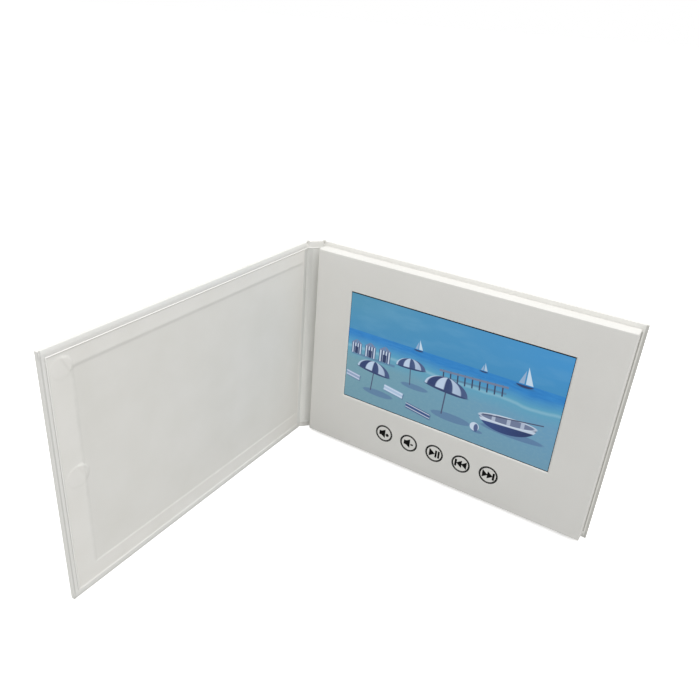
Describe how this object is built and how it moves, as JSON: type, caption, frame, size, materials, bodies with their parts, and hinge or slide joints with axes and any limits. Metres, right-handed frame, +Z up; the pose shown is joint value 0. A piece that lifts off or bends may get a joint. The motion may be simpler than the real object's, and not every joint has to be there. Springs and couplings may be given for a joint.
{
  "type": "lcd video brochure",
  "caption": "Hardcover book-style video brochure: hinged covers, a screen block with printed push keys, battery, speaker and magnets inside.",
  "frame": {"origin": "middle of the back cover's lower standing edge, at half the cover's thickness", "axes": "+X along the back cover from the hinge to its fore-edge, +Y from the screen through to the outside of the back cover, +Z up; the rest pose stands on its lower edges, open at a right angle"},
  "size_m": [0.2251, 0.2264, 0.154],
  "materials": {
    "laminated_wrap_paper": "satin",
    "lining_paper": "matte",
    "greyboard": "matte",
    "white_card": "satin",
    "filler_board": "matte",
    "adhesive_sheet": "matte",
    "black_tape": "matte",
    "pressed_steel": "satin",
    "screen_glass": "gloss",
    "light_guide": "gloss",
    "polyimide_film": "satin",
    "solder_mask": "satin",
    "moulded_black": "matte",
    "moulded_ivory": "matte",
    "chip_ceramic": "matte",
    "ribbon_cable": "satin",
    "pouch_foil": "satin",
    "red_insulation": "satin",
    "black_insulation": "satin",
    "plated_magnet": "polished",
    "speaker_paper": "matte"
  },
  "bodies": {
    "display_side": {"back_board": "greyboard", "back_wrap": "laminated_wrap_paper", "back_lining": "lining_paper", "back_hinge_strip": "laminated_wrap_paper", "block_adhesive": "adhesive_sheet", "base_card": "white_card", "rear_filler": "filler_board", "front_filler": "filler_board", "face_card": "white_card", "screen_tape": "black_tape", "screen_tray": "pressed_steel", "screen_glass": "screen_glass", "screen_backlight": "light_guide", "screen_flex": "polyimide_film", "screen_socket": "moulded_ivory", "key_switches": "moulded_black", "key_board": "solder_mask", "key_ribbon": "ribbon_cable", "main_board": "solder_mask", "processor": "moulded_black", "flash_memory": "moulded_black", "audio_amplifier": "moulded_black", "quartz_crystal": "pressed_steel", "power_inductor": "moulded_black", "board_capacitors": "chip_ceramic", "usb_shell": "pressed_steel", "usb_tongue": "moulded_black", "sensor_board": "solder_mask", "lid_sensor": "moulded_black", "sensor_ribbon": "ribbon_cable", "block_magnet": "plated_magnet", "battery_cell": "pouch_foil", "battery_circuit": "polyimide_film", "battery_tape": "adhesive_sheet", "battery_lead_red": "red_insulation", "battery_lead_black": "black_insulation", "speaker_frame": "moulded_black", "speaker_magnet": "plated_magnet", "speaker_cone": "speaker_paper", "speaker_leads": "black_insulation"},
    "spine": {"spine_board": "greyboard", "spine_wrap": "laminated_wrap_paper", "spine_lining": "lining_paper", "front_hinge_strip": "laminated_wrap_paper"},
    "front_cover": {"front_board": "greyboard", "front_wrap": "laminated_wrap_paper", "front_lining": "lining_paper", "cover_magnet_upper": "plated_magnet", "cover_magnet_middle": "plated_magnet"},
    "volume_up": {"volume_up_key": "white_card", "volume_up_plunger": "moulded_ivory"},
    "volume_down": {"volume_down_key": "white_card", "volume_down_plunger": "moulded_ivory"},
    "play_pause": {"play_pause_key": "white_card", "play_pause_plunger": "moulded_ivory"},
    "previous": {"previous_key": "white_card", "previous_plunger": "moulded_ivory"},
    "next": {"next_key": "white_card", "next_plunger": "moulded_ivory"}
  },
  "joints": [
    {"name": "back_hinge", "type": "hinge", "parent": "display_side", "child": "spine", "pos_m": [-0.1089, 0.0005, 0], "axis": [0, 0, 1], "range_deg": [-49, 41], "deforming": ["back_hinge_strip"]},
    {"name": "front_hinge", "type": "hinge", "parent": "spine", "child": "front_cover", "pos_m": [-0.11762, -0.00954, 0], "axis": [0, 0, 1], "range_deg": [-41, 49], "deforming": ["front_hinge_strip"]},
    {"name": "volume_up_press", "type": "slide", "parent": "display_side", "child": "volume_up", "axis": [0, 1, 0], "range_m": [0, 0.00025], "stiffness_N_per_m": 4000},
    {"name": "volume_down_press", "type": "slide", "parent": "display_side", "child": "volume_down", "axis": [0, 1, 0], "range_m": [0, 0.00025], "stiffness_N_per_m": 4000},
    {"name": "play_pause_press", "type": "slide", "parent": "display_side", "child": "play_pause", "axis": [0, 1, 0], "range_m": [0, 0.00025], "stiffness_N_per_m": 4000},
    {"name": "previous_press", "type": "slide", "parent": "display_side", "child": "previous", "axis": [0, 1, 0], "range_m": [0, 0.00025], "stiffness_N_per_m": 4000},
    {"name": "next_press", "type": "slide", "parent": "display_side", "child": "next", "axis": [0, 1, 0], "range_m": [0, 0.00025], "stiffness_N_per_m": 4000}
  ]
}
